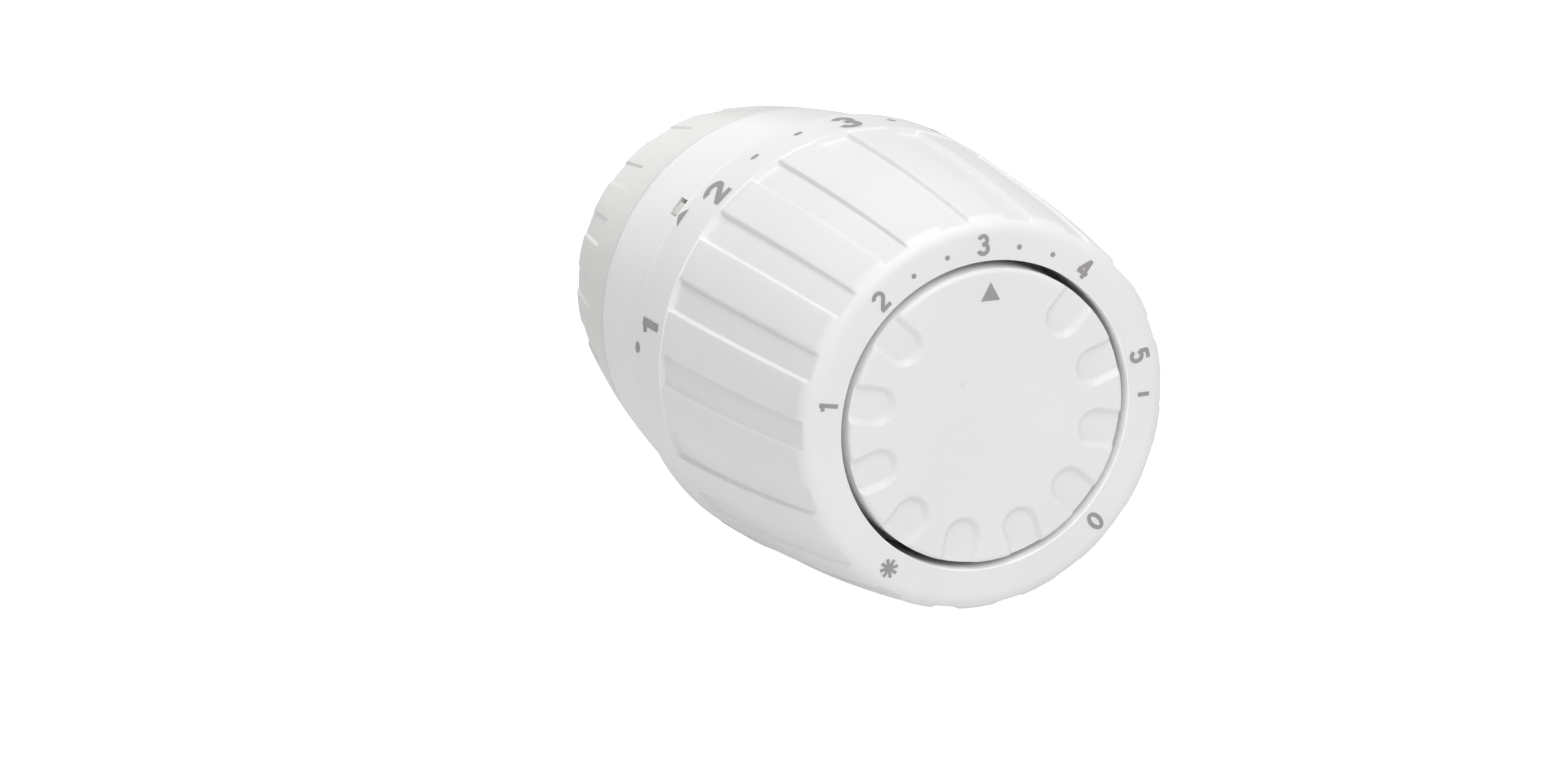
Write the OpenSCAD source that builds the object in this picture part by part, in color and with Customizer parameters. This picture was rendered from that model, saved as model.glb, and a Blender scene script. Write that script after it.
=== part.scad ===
// Thermostatic radiator sensor head: a turning scale handle on a fixed base, a fixed pointer cap,
// a liquid-filled sensor that a thread moves towards the valve, and a cam-locked socket for the valve neck.
// Every sub-part is drawn about a local axis: z = 0 at the valve side, z = head_len at the front, +y up.
// in_use() lays that axis level, so the finished head faces -Y with +Z up and its origin at the valve side.

/* [Outline] */
// Length from the valve side to the handle's front face
head_len = 72.6; // [72.2:0.1:73]
// Largest radius of the handle
barrel_r = 27; // [26.8:0.1:27.3]
// Radius of the handle's lengthwise arc
barrel_arc_r = 220; // [200:5:240]
// Height on the axis where the handle is widest
widest_z = 33.7; // [33.5:0.1:34]
// Rounding of the handle's front edge
front_fillet = 2.2; // [1.8:0.1:2.4]
// Seam between handle and base, on the axis
seam_z = 30.8; // [30.7:0.1:30.9]
// Radius of the base at that seam
seam_r = 25.9; // [25.8:0.1:26]
// Seam between base and locking ring, on the axis
ring_seam_z = 16.9; // [16.8:0.1:17]
// Taper of the base behind the seam, millimetres per millimetre
base_taper = 0.085; // [0.08:0.005:0.09]
// How much that taper grows per millimetre
base_curve = 0.0029; // [0.0027:0.0001:0.0031]

/* [Handle grip] */
// Number of grip flutes round the handle
flute_count = 18; // [12:1:20]
// Width of one flute, degrees
flute_angle = 8.4; // [6:0.2:9]
// Depth of a flute at its rear end
flute_depth = 0.6; // [0.4:0.1:0.8]
// Depth of a flute where it runs out at the front
flute_run_out = 0.35; // [0.2:0.05:0.4]
// Height of the number band over the ribs
band_step = 0.2; // [0.1:0.05:0.3]
// Rear end of the flutes, on the axis
flute_rear_z = 40.1; // [39.5:0.1:41]

/* [Front cap] */
// Radius of the pointer cap
cap_r = 17.6; // [17.3:0.1:17.8]
// Height of the cap's face over the handle's
cap_proud = 0.4; // [0.2:0.1:0.5]
// Radius of the hole that the cap sits in
hole_r = 18.5; // [18.3:0.1:18.6]
// Number of finger dimples
dimple_count = 10; // [8:1:10]
// Angle from one dimple to the next
dimple_pitch = 30; // [28:1:30]
// Turn of the whole row of dimples
dimple_turn = 3.5; // [0:0.5:5]
// Width of a dimple
dimple_w = 4.1; // [3.6:0.1:4.6]
// Radius at which a dimple's rounded end stops
dimple_end_r = 12.4; // [11.6:0.1:13]
// Depth of a dimple
dimple_depth = 0.8; // [0.5:0.1:1]

/* [Setting range] */
// Clockwise turn from 3 to the closed mark 0
turn_close = 225; // [220:1:228]
// Anticlockwise turn from 3 to the open mark
turn_open = 88.5; // [80:0.5:88.5]
// Axial travel of the sensor for one turn of the handle
thread_lead = 3; // [2:0.5:3]

/* [Valve socket] */
// Radius of the bore that takes the valve neck
socket_r = 13.05; // [12.9:0.05:13.1]
// Depth of that bore
socket_depth = 15.5; // [15.4:0.1:15.6]
// Number of clamp jaws
jaw_count = 4; // [4:1:4]
// How far each jaw closes on the neck
jaw_throw = 1.1; // [0.8:0.1:1.1]
// Turn of the locking ring from open to locked
lock_turn = 30; // [26:1:32]

/* [Hidden] */
$fn = 96;

// Gaps between pieces
run = 0.08;      // radial gap of a piece that turns or slides in another
sit = 0.05;      // gap between pieces that are fixed together
up = 90;         // local direction of the pointer, degrees

// Handle
handle_rear_z = seam_z + 0.2;
handle_wall = 2.2;
band_fillet = 4.6;
mouth_r = 24.08;
mouth_z = 34.8;
tube_out_r = 20.3;
lip_z = [57.4, 60.35];
cage_r = [15.46, 17.3];
outline_steps = 8;
key_rib_count = 6;
key_pitch = 360 / key_rib_count;
drive_z = [40, 56.5];
drive_r = [20.8, 22.4];
key_out_r = 23.1;
stop_r = 20.6;
stop_lug_angle = 12;
stop_lug_at = 270;
stop_block_angle = 360 - turn_close - turn_open - stop_lug_angle - 0.8;
stop_block_at = stop_lug_at + (turn_open - turn_close) / 2 + 180;

// Base
floor_z = [socket_depth, 18];
socket_wall = 2.15;
socket_out_r = socket_r + socket_wall;
base_wall = 1.8;
floor_rim_r = 21.75;
bush_r = 4.6;
collar_r = [22.2, 24];
collar_z = [28.2, 34.6];
cage_front_z = 60.75;
slot_w = 6.4;
slot_rear_z = 41;
slot_angles = [90, 210, 330];
notch_w = 2.45;
notch_z = [28.2, seam_z];
notch_tilt = 49.8;

// Locking ring and jaws
ring_wall = 2;
web_z = [8, 10];
web_in_r = socket_out_r + 0.15;
jaw_z = [10.1, 13.4];
jaw_w = 7;
jaw_out_r = 20.2;
jaw_angles = [45, 135, 225, 315];
peg_r = 1.2;
peg_at_r = 18.9;
ring_flute_z = 9.2;
ring_flute_depth = 0.35;
ring_flute_at = 7.4;

// Sensor
carrier_r = [13.8, cage_r[0] - run];
carrier_z = [31, 59.2];
lug_z = [44, 52];
lug_r = drive_r[0] - 0.15;
can_r = carrier_r[0] - run;
can_z = [34.3, 57];
plate_z = [32.85, 34.25];
cup_r = [5.5, 6.6];
cup_z = [28, 48.9];
bellows_r = [8.2, 11.6];
bellows_folds = 8;
pin_r = 3;

// Radius of the handle's outside at height z
function barrel_at(z) = barrel_r - pow(z - widest_z, 2) / (2 * barrel_arc_r);
// Radius of the base and the locking ring at height z
function base_at(z) = seam_r - base_taper * (seam_z - z) - base_curve * pow(seam_z - z, 2);
// Points of an arc about centre c
function arc(c, r, a0, a1, steps) =
    [for (i = [0:steps]) let (a = a0 + (a1 - a0) * i / steps) [c[0] + r * cos(a), c[1] + r * sin(a)]];
// Heights from z0 to z1 in equal steps
function heights(z0, z1, steps) = [for (i = [0:steps]) z0 + (z1 - z0) * i / steps];
// Height of a coil's centre line after t turns, with a closed turn at each end
function coil_z(t, turns, h, wire) =
    let (dead = wire * 1.1, pitch = (h - wire - 2 * dead) / (turns - 2))
    t < 1 ? t * dead : t > turns - 1 ? h - wire - (turns - t) * dead : dead + (t - 1) * pitch;

module in_use() {
    rotate([90, 0, 0])
        children();
}

module ring(r_in, r_out, z0, z1) {
    translate([0, 0, z0])
        difference() {
            cylinder(r = r_out, h = z1 - z0);
            translate([0, 0, -1])
                cylinder(r = r_in, h = z1 - z0 + 2);
        }
}

module disc(r, z0, z1) {
    translate([0, 0, z0])
        cylinder(r = r, h = z1 - z0);
}

// Part of a ring, centred on angle at
module sector(r_in, r_out, z0, z1, at, width) {
    rotate([0, 0, at - width / 2])
        rotate_extrude(angle = width)
            polygon([[r_in, z0], [r_out, z0], [r_out, z1], [r_in, z1]]);
}

// Block that runs outward along angle at, from radius r_in to r_out
module spoke(r_in, r_out, width, z0, z1, at) {
    rotate([0, 0, at])
        translate([r_in, -width / 2, z0])
            cube([r_out - r_in, width, z1 - z0]);
}

module coil(r, wire, z0, z1, turns) {
    per_turn = 18;
    sides = 6;
    steps = turns * per_turn;
    ring_points = [
        for (i = [0:steps], k = [0:sides - 1])
            let (
                a = 360 * i / per_turn,
                b = 360 * k / sides,
                rr = r + wire / 2 * cos(b),
                zz = z0 + wire / 2 + coil_z(i / per_turn, turns, z1 - z0, wire) + wire / 2 * sin(b)
            )
            [rr * cos(a), rr * sin(a), zz]
    ];
    side_faces = [
        for (i = [0:steps - 1], k = [0:sides - 1])
            let (n = (k + 1) % sides)
            [i * sides + k, i * sides + n, (i + 1) * sides + n, (i + 1) * sides + k]
    ];
    start_face = [for (k = [sides - 1:-1:0]) k];
    end_face = [for (k = [0:sides - 1]) steps * sides + k];
    polyhedron(ring_points, concat(side_faces, [start_face, end_face]), convexity = 10);
}

// ---- Handle: turns about the axis ----

module handle_solid() {
    band_top = [for (z = heights(widest_z, flute_rear_z, 2)) [barrel_at(z), z]];
    ribs_top = [
        for (z = heights(flute_rear_z, head_len - front_fillet, outline_steps))
            [barrel_at(z) - band_step, z]
    ];
    front_z = head_len - front_fillet;
    front_r = barrel_at(front_z) - band_step - front_fillet;
    rear_drop = asin((widest_z - handle_rear_z) / band_fillet);
    rotate_extrude()
        polygon(concat(
            arc([barrel_r - band_fillet, widest_z], band_fillet, -rear_drop, -1, 4),
            band_top,
            ribs_top,
            arc([front_r, front_z], front_fillet, 12, 90, 6),
            [[hole_r + 0.2, head_len], [hole_r, head_len - 0.2], [hole_r, lip_z[1]]],
            [[cage_r[1] + run, lip_z[1]], [cage_r[1] + run, handle_rear_z]]
        ));
}

// Hollow of the handle between the front tube and the outer wall, open to the rear
module handle_hollow() {
    front_z = head_len - handle_wall;
    rotate_extrude()
        polygon(concat(
            [[0, handle_rear_z - 1], [mouth_r, handle_rear_z - 1], [mouth_r, mouth_z]],
            [for (z = heights(mouth_z + 0.4, front_z, outline_steps)) [barrel_at(z) - handle_wall - 0.3, z]],
            [[tube_out_r, front_z], [tube_out_r, lip_z[0]], [0, lip_z[0]]]
        ));
}

module flute_cutter() {
    top_z = head_len + 1;
    rear_z = flute_rear_z - 0.1;
    span = head_len - rear_z;
    floor_points = [
        for (z = heights(rear_z, top_z, outline_steps))
            let (along = (z - rear_z) / span)
            [barrel_at(z) - band_step - flute_depth + (flute_depth - flute_run_out) * along, z]
    ];
    rotate([0, 0, -flute_angle / 2])
        rotate_extrude(angle = flute_angle)
            polygon(concat(floor_points, [[barrel_r + 2, top_z], [barrel_r + 2, rear_z]]));
}

module setting_handle() {
    color("white")
        in_use()
            union() {
                difference() {
                    handle_solid();
                    difference() {
                        handle_hollow();
                        for (i = [0:key_rib_count - 1])
                            spoke(drive_r[1] + sit, barrel_r, 1.4, 39, lip_z[0], key_pitch * i);
                        sector(stop_r, barrel_r, 35.2, 38, stop_lug_at, stop_lug_angle);
                    }
                    for (i = [0:flute_count - 1])
                        rotate([0, 0, up + 360 * (i + 0.5) / flute_count])
                            flute_cutter();
                }
            }
}

// Ring inside the handle whose inner face carries the setting thread, drawn plain
module drive_ring() {
    color("whitesmoke")
        in_use()
            union() {
                ring(drive_r[0], drive_r[1], drive_z[0], drive_z[1]);
                for (i = [0:key_rib_count - 1])
                    spoke(drive_r[1] - 0.3, key_out_r, 2, drive_z[0] + 0.5, drive_z[1] - 0.5, key_pitch * i + 5);
            }
}

module thrust_washer() {
    color("gainsboro")
        in_use()
            ring(cage_r[1] + 0.1, hole_r - 0.15, lip_z[1] + sit, lip_z[1] + 0.4);
}

// ---- Pointer cap and its holder ----

module front_cap() {
    edge = 0.6;
    top_z = head_len + cap_proud;
    under_z = top_z - 2.2;
    skirt_z = 66;
    hub_r = [6.1, 8];
    color("white")
        in_use()
            difference() {
                rotate_extrude()
                    polygon(concat(
                        [[0, under_z], [hub_r[0], under_z], [hub_r[0], skirt_z]],
                        [[hub_r[1], skirt_z], [hub_r[1], under_z]],
                        [[cap_r - 1.4, under_z], [cap_r - 1.4, skirt_z]],
                        [[cap_r, skirt_z]],
                        arc([cap_r - edge, top_z - edge], edge, 0, 90, 5),
                        [[0, top_z]]
                    ));
                ring(hub_r[0] - 1, 6.9, 67.4, 68.4);
                for (i = [0:dimple_count - 1])
                    rotate([0, 0, up + 45 + dimple_turn + dimple_pitch * i])
                        translate([0, 0, top_z - dimple_depth])
                            union() {
                                translate([dimple_end_r + dimple_w / 2, 0, 0])
                                    cylinder(d = dimple_w, h = 2);
                                translate([dimple_end_r + dimple_w / 2, -dimple_w / 2, 0])
                                    cube([cap_r, dimple_w, 2]);
                            }
            }
}

// Plate on the cage's front end: it keeps the handle on and carries the cap on its hub
module cap_holder() {
    plate_z0 = cage_front_z + sit;
    color("gainsboro")
        in_use()
            difference() {
                union() {
                    disc(hole_r - run, plate_z0, 62.6);
                    disc(6, 62, 69.6);
                    for (a = slot_angles) {
                        spoke(cage_r[0] + 0.2, cage_r[1] - 0.2, slot_w - 0.4, 54.2, plate_z0 + 0.5, a);
                        spoke(cage_r[0] + 0.2, cage_r[1] - 0.2, slot_w + 1, 55, 56.4, a);
                    }
                }
                disc(3.6, 59, 70);
                ring(5.4, 8, 67.5, 68.3);
            }
}

module cap_snap_ring() {
    color("silver")
        in_use()
            difference() {
                ring(5.45, 6.75, 67.6, 68.2);
                spoke(0, 9, 2.5, 67, 69, up + 180);
            }
}

// ---- Base: the fixed body ----

module cage_slot(at) {
    spoke(cage_r[0] - 1, cage_r[1] + 1, slot_w, slot_rear_z, cage_front_z + 1, at);
    spoke(cage_r[0] - 1, cage_r[1] + 1, slot_w + 1.4, 54.8, 56.6, at);
}

module base_shell() {
    in_z = floor_z[1];
    rotate_extrude()
        polygon(concat(
            [[bush_r + sit, floor_z[0]], [floor_rim_r, floor_z[0]], [floor_rim_r, ring_seam_z]],
            [for (z = heights(ring_seam_z, seam_z, 5)) [base_at(z), z]],
            [[collar_r[1], seam_z], [collar_r[1], collar_z[1]], [collar_r[0], collar_z[1]]],
            [[collar_r[0], collar_z[0]]],
            [for (z = heights(collar_z[0], in_z, 3)) [base_at(z) - base_wall, z]],
            [[bush_r + sit, in_z]]
        ));
}

module base_housing() {
    color("white")
        in_use()
            difference() {
                union() {
                    base_shell();
                    ring(socket_r, socket_out_r, 0, floor_z[0] + 0.5);
                    ring(cage_r[0], cage_r[1], floor_z[1] - 0.5, cage_front_z);
                    sector(stop_r, 23.9, seam_z + 0.2, 37.6, stop_block_at, stop_block_angle);
                    for (a = jaw_angles)
                        rotate([0, 0, a])
                            for (y = [-jaw_w / 2 - 1.3, jaw_w / 2 + 0.1])
                                translate([socket_out_r - 0.6, y, 10.3])
                                    cube([5.2, 1.2, floor_z[0] - 10.3 + 0.5]);
                }
                for (a = jaw_angles)
                    spoke(socket_r - 1, socket_out_r + 1, jaw_w + 0.2, jaw_z[0] - 0.1, jaw_z[1] + 0.1, a);
                for (a = slot_angles)
                    cage_slot(a);
                for (tilt = [-notch_tilt, notch_tilt])
                    spoke(collar_r[0] - 1, barrel_r, notch_w, notch_z[0], notch_z[1] + 0.01, up + tilt);
                ring(22.9, 25, 32.1, 33.5);
                ring(socket_out_r - 0.5, 17, 6.85, 7.85);
            }
}

module handle_o_ring() {
    color("dimgray")
        in_use()
            rotate_extrude()
                translate([23.5, 32.8])
                    circle(r = 0.55);
}

module guide_bush() {
    color("goldenrod")
        in_use()
            difference() {
                union() {
                    disc(bush_r, socket_depth, 20.5);
                    disc(6.5, floor_z[1] + sit, 19.05);
                }
                disc(pin_r + run, socket_depth - 1, 22);
            }
}

module spring_seat() {
    color("silver")
        in_use()
            ring(8, 13, floor_z[1] + sit, 18.9);
}

module return_spring() {
    color("silver")
        in_use()
            coil(11.6, 1.1, 18.95, carrier_z[0] - sit, 6);
}

// Limit pin in the base's notch; shift moves it off the notch's centre
module limit_pin(tilt, shift) {
    color("oldlace")
        in_use()
            rotate([0, 0, up + tilt])
                translate([19.5, shift - 0.95, notch_z[0] + 0.1])
                    cube([6, 1.9, 2.4]);
}

module limit_pin_low() {
    limit_pin(notch_tilt, 0.17);
}

module limit_pin_high() {
    limit_pin(-notch_tilt, -0.17);
}

// ---- Locking ring and clamp jaws ----

// Centre line of a cam slot, in the ring's own angle from the jaw's direction
function cam_r(a) = peg_at_r + jaw_throw * a / lock_turn;
function cam_point(a, side) =
    let (
        lean = atan2(jaw_throw / (lock_turn * PI / 180), cam_r(a)),
        w = (peg_r + run) * side
    )
    [cam_r(a) * cos(a) + w * cos(a - lean), cam_r(a) * sin(a) + w * sin(a - lean)];

module cam_slot() {
    steps = 10;
    translate([0, 0, web_z[0] - 1])
        linear_extrude(web_z[1] - web_z[0] + 2)
            union() {
                polygon(concat(
                    [for (i = [0:steps]) cam_point(-lock_turn * i / steps, 1)],
                    [for (i = [steps:-1:0]) cam_point(-lock_turn * i / steps, -1)]
                ));
                for (a = [0, -lock_turn])
                    rotate([0, 0, a])
                        translate([cam_r(a), 0])
                            circle(r = peg_r + run);
            }
}

module locking_ring() {
    top_z = ring_seam_z - 0.15;
    color("oldlace")
        in_use()
            difference() {
                rotate_extrude()
                    polygon(concat(
                        [for (z = heights(0.8, top_z, 6)) [base_at(z), z]],
                        [for (z = heights(top_z, web_z[1], 3)) [base_at(z) - ring_wall, z]],
                        [[web_in_r, web_z[1]], [web_in_r, web_z[0]]],
                        [for (z = heights(web_z[0], 0, 3)) [base_at(z) - ring_wall, z]],
                        [[base_at(0) - 0.8, 0]]
                    ));
                for (a = jaw_angles)
                    rotate([0, 0, a])
                        cam_slot();
                for (i = [0:flute_count - 1])
                    rotate([0, 0, up + ring_flute_at + 360 * i / flute_count - flute_angle / 2])
                        rotate_extrude(angle = flute_angle)
                            polygon(concat(
                                [for (z = heights(-1, ring_flute_z, 3)) [base_at(z) - ring_flute_depth, z]],
                                [[barrel_r, ring_flute_z], [barrel_r, -1]]
                            ));
            }
}

module lock_ring_clip() {
    color("silver")
        in_use()
            difference() {
                ring(socket_out_r - 0.45, 16.9, 6.95, 7.75);
                spoke(0, 18, 3, 6, 9, up + 180);
            }
}

// Jaw that slides inward along angle at, driven by its peg in the ring's cam slot
module clamp_jaw(at) {
    color("whitesmoke")
        in_use()
            rotate([0, 0, at])
                difference() {
                    union() {
                        translate([socket_r - 1, -jaw_w / 2, jaw_z[0]])
                            cube([jaw_out_r - socket_r + 1, jaw_w, jaw_z[1] - jaw_z[0]]);
                        translate([peg_at_r, 0, web_z[0] + 0.2])
                            cylinder(r = peg_r, h = 3);
                    }
                    disc(socket_r + 0.05, jaw_z[0] - 1, jaw_z[1] + 1);
                }
}

module clamp_jaw_1() {
    clamp_jaw(jaw_angles[0]);
}

module clamp_jaw_2() {
    clamp_jaw(jaw_angles[1]);
}

module clamp_jaw_3() {
    clamp_jaw(jaw_angles[2]);
}

module clamp_jaw_4() {
    clamp_jaw(jaw_angles[3]);
}

// ---- Sensor: moved along the axis by the handle's thread ----

module capsule_carrier() {
    color("gainsboro")
        in_use()
            difference() {
                union() {
                    ring(carrier_r[0], carrier_r[1], carrier_z[0], carrier_z[1]);
                    ring(7.2, carrier_r[0] + 0.5, carrier_z[0], 32.8);
                    for (a = slot_angles)
                        intersection() {
                            spoke(carrier_r[0] + 0.4, 22, slot_w - 0.2, lug_z[0], lug_z[1], a);
                            disc(lug_r, lug_z[0] - 1, lug_z[1] + 1);
                        }
                }
                ring(carrier_r[0] - 1, carrier_r[0] + 0.7, 57.1, 58);
            }
}

module capsule_circlip() {
    color("silver")
        in_use()
            difference() {
                ring(12, carrier_r[0] + 0.6, 57.15, 57.95);
                spoke(0, 15, 4, 57, 58.2, up + 180);
            }
}

module sensor_can() {
    wall = 0.5;
    color("lightsteelblue")
        in_use()
            difference() {
                disc(can_r, can_z[0], can_z[1]);
                disc(can_r - wall, can_z[0] - 1, can_z[1] - wall);
                disc(1.3, can_z[1] - 1, can_z[1] + 1);
            }
}

module can_end_plate() {
    color("lightsteelblue")
        in_use()
            ring(cup_r[1] + run, can_r, plate_z[0], plate_z[1]);
}

module charge_tube() {
    color("peru")
        in_use()
            union() {
                disc(1.25, can_z[1] - 1.5, can_z[1] + 2);
                translate([-1.25, -0.35, can_z[1] + 1.9])
                    cube([2.5, 0.7, 0.9]);
            }
}

module bellows() {
    foil = 0.3;
    z0 = plate_z[1] + sit;
    z1 = cup_z[1] - sit;
    half_folds = 2 * bellows_folds;
    fold_r = [for (i = [0:half_folds]) bellows_r[(i + 1) % 2]];
    fold_z = heights(z0 + foil, z1 - foil, half_folds);
    outer = [for (i = [0:half_folds]) [fold_r[i] + foil / 2, fold_z[i]]];
    inner = [for (i = [half_folds:-1:0]) [fold_r[i] - foil, fold_z[i]]];
    color("darkgoldenrod")
        in_use()
            rotate_extrude()
                polygon(concat([[bellows_r[1] + foil / 2, z0]], outer, [[bellows_r[1] + foil / 2, z1]],
                    [[bellows_r[1] - foil, z1]], inner, [[bellows_r[1] - foil, z0]]));
}

module bellows_cap() {
    color("darkgoldenrod")
        in_use()
            disc(bellows_r[1] + 0.2, cup_z[1] + sit, cup_z[1] + 1.2);
}

module push_cup() {
    color("silver")
        in_use()
            difference() {
                disc(cup_r[1], cup_z[0], cup_z[1]);
                disc(cup_r[0], cup_z[0] - 1, cup_z[1] - 0.9);
                ring(cup_r[0] - 1, cup_r[0] + 0.5, 28.35, 29.3);
            }
}

module overtravel_spring() {
    color("silver")
        in_use()
            coil(4.6, 0.9, 31.55, cup_z[1] - 0.95, 9);
}

module cup_clip() {
    color("silver")
        in_use()
            difference() {
                ring(3.5, cup_r[0] + 0.4, 28.4, 29.25);
                spoke(0, 7, 2.5, 28, 30, up + 180);
            }
}

module pressure_pin() {
    color("lightgray")
        in_use()
            union() {
                disc(pin_r, 15.8, 29.6);
                disc(cup_r[0] - run, 29.35, 31.5);
            }
}

setting_handle();
drive_ring();
thrust_washer();
front_cap();
cap_holder();
cap_snap_ring();
base_housing();
handle_o_ring();
guide_bush();
spring_seat();
return_spring();
limit_pin_low();
limit_pin_high();
locking_ring();
lock_ring_clip();
clamp_jaw_1();
clamp_jaw_2();
clamp_jaw_3();
clamp_jaw_4();
capsule_carrier();
capsule_circlip();
sensor_can();
can_end_plate();
charge_tube();
bellows();
bellows_cap();
push_cup();
overtravel_spring();
cup_clip();
pressure_pin();
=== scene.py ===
"""Looks of a thermostatic radiator sensor head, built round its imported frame.

Shapes are drawn in millimetres about the head's own axis: r is the distance from it, z the height from the
valve side, and an angle is in degrees from the pointer, growing anticlockwise as seen from the front.
"""

import math

import bmesh
import bpy
from mathutils import Matrix, Vector


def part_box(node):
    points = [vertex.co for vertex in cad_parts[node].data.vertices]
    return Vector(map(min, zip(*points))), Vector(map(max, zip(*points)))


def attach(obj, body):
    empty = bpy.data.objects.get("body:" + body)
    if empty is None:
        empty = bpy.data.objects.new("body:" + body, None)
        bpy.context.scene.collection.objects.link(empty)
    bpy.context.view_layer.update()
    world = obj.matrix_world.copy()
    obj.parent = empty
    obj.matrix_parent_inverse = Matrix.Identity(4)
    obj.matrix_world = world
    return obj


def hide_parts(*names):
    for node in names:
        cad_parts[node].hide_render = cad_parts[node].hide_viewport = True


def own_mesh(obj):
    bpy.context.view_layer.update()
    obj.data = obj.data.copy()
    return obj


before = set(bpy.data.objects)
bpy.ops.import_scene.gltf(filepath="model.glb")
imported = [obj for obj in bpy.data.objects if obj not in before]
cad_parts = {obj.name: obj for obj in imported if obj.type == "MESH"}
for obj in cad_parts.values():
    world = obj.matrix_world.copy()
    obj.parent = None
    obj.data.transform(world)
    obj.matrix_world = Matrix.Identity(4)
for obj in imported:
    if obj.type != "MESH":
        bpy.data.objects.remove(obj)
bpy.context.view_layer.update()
MM = 0.001


def span(node):
    """Radius, rear height and front height of a CAD node, in millimetres."""
    low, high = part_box(node)
    return high.x / MM, -high.y / MM, -low.y / MM


# Driving dimensions, from the frame
barrel_r, handle_rear, head_len = span("setting_handle")
cap_r, cap_rear, cap_top = span("front_cap")
_, _, ring_top = span("locking_ring")
_, washer_rear, _ = span("thrust_washer")
lip_front = washer_rear - 0.05
lip_rear = lip_front - 2.95
cage_out_r = 17.3
cage_front = 60.75

# Outline of the barrel and the base
widest_z = 33.7
barrel_arc_r = 220
seam_z = handle_rear - 0.2
seam_r = 25.9
ring_seam_z = ring_top + 0.08
base_taper = 0.085
base_curve = 0.0029
front_fillet = 2.2
rear_fillet = 4.6

# Hole round the cap
hole_r = 18.5
hole_edge = 0.2

# Grip flutes
flute_count = 18
flute_pitch = 360 / flute_count
flute_half = 4.2
flute_wall = 0.5
flute_rear = 40.1
flute_depth = 0.6
flute_run_out = 0.35
band_step = 0.2

# Stops of the handle's turn, in degrees from the drawn setting
turn_close = 225
turn_open = 88.5
stop_lug_w = 12

# Dimples of the cap
dimple_angles = [48.5 + 30 * i for i in range(10)]
dimple_half = 2.05
dimple_end_r = 12.4 + dimple_half
dimple_soft = 0.42
dimple_depth = 0.8

# Printed scale: angle of each mark
scale_marks = {"3": 2.4, "2": 42.2, "1": 80.6, "*": 144.1, "0": 225.3, "I": -89.0, "5": -75.5, "4": -37.0}
scale_dots = [28.6, 15.6, -10.8, -23.8]
ink_lift = 0.025


# ---- Outlines ----

def barrel_at(z):
    return barrel_r - (z - widest_z) ** 2 / (2 * barrel_arc_r)


def base_at(z):
    down = seam_z - z
    return seam_r - base_taper * down - base_curve * down ** 2


def smooth(low, high, x):
    t = min(max((x - low) / (high - low), 0), 1)
    return t * t * (3 - 2 * t)


def steps(low, high, count):
    return [low + (high - low) * i / count for i in range(count + 1)]


def arc(centre, radius, start, end, count):
    return [
        (centre[0] + radius * math.cos(math.radians(a)), centre[1] + radius * math.sin(math.radians(a)))
        for a in steps(start, end, count)
    ]


def eased(corners, count=4):
    """A closed outline whose corners (r, z, ease) are each rounded over a length of ease."""
    points = []
    for i, (r, z, ease) in enumerate(corners):
        here = Vector((r, z))
        if ease == 0:
            points.append((r, z))
            continue
        before = Vector(corners[i - 1][:2])
        after = Vector(corners[(i + 1) % len(corners)][:2])
        start = here + (before - here).normalized() * ease
        end = here + (after - here).normalized() * ease
        for t in steps(0, 1, count):
            points.append(tuple(start.lerp(here, t).lerp(here.lerp(end, t), t)))
    return points


def place(r, angle, z):
    """A point of the shared frame, in metres."""
    a = math.radians(90 + angle)
    return Vector((r * math.cos(a), -z, r * math.sin(a))) * MM


# ---- Meshes ----

def mesh_piece(name, bm, crease=40):
    """An object from a bmesh, shaded smooth except across sharp corners."""
    mesh = bpy.data.meshes.new(name)
    bm.to_mesh(mesh)
    bm.free()
    mesh.shade_smooth()
    mesh.set_sharp_from_angle(angle=math.radians(crease))
    piece = bpy.data.objects.new(name, mesh)
    bpy.context.scene.collection.objects.link(piece)
    return piece


def turned(name, outline, angles=None, shift=None):
    """A closed outline of (r, z) turned about the axis. One that starts and ends at r = 0 gets poles."""
    angles = angles or [360 * i / 240 for i in range(240)]
    bm = bmesh.new()
    rings = []
    for r, z in outline:
        if r == 0:
            pole = bm.verts.new(place(0, 0, z))
            rings.append([pole] * len(angles))
            continue
        ring = []
        for a in angles:
            moved_r, moved_z = shift(r, z, a) if shift else (r, z)
            ring.append(bm.verts.new(place(moved_r, a, moved_z)))
        rings.append(ring)
    has_poles = outline[0][0] == 0
    pairs = list(zip(rings, rings[1:])) if has_poles else list(zip(rings, rings[1:] + rings[:1]))
    for one, two in pairs:
        for i in range(len(angles)):
            k = (i + 1) % len(angles)
            corners = list(dict.fromkeys((one[i], one[k], two[k], two[i])))
            bm.faces.new(corners)
    bmesh.ops.recalc_face_normals(bm, faces=bm.faces)
    return mesh_piece(name, bm)


def block(name, size, centre, angle, ease=0.2):
    """A box with eased edges at angle: size is (radial, across, axial), centre is (r, offset across, z)."""
    bm = bmesh.new()
    bmesh.ops.create_cube(bm, size=1)
    bmesh.ops.scale(bm, vec=(size[0] * MM, size[2] * MM, size[1] * MM), verts=bm.verts)
    bmesh.ops.bevel(bm, geom=bm.edges, offset=ease * MM, segments=3, profile=0.5, affect="EDGES")
    turn = Matrix.Rotation(math.radians(-90 - angle), 4, "Y")
    move = Matrix.Translation(Vector((centre[0], -centre[2], centre[1])) * MM)
    bm.transform(turn @ move)
    return mesh_piece(name, bm)


def joined(name, pieces):
    """One object that holds the meshes of several."""
    bm = bmesh.new()
    for piece in pieces:
        bm.from_mesh(piece.data)
        bpy.data.objects.remove(piece)
    return mesh_piece(name, bm)


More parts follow.
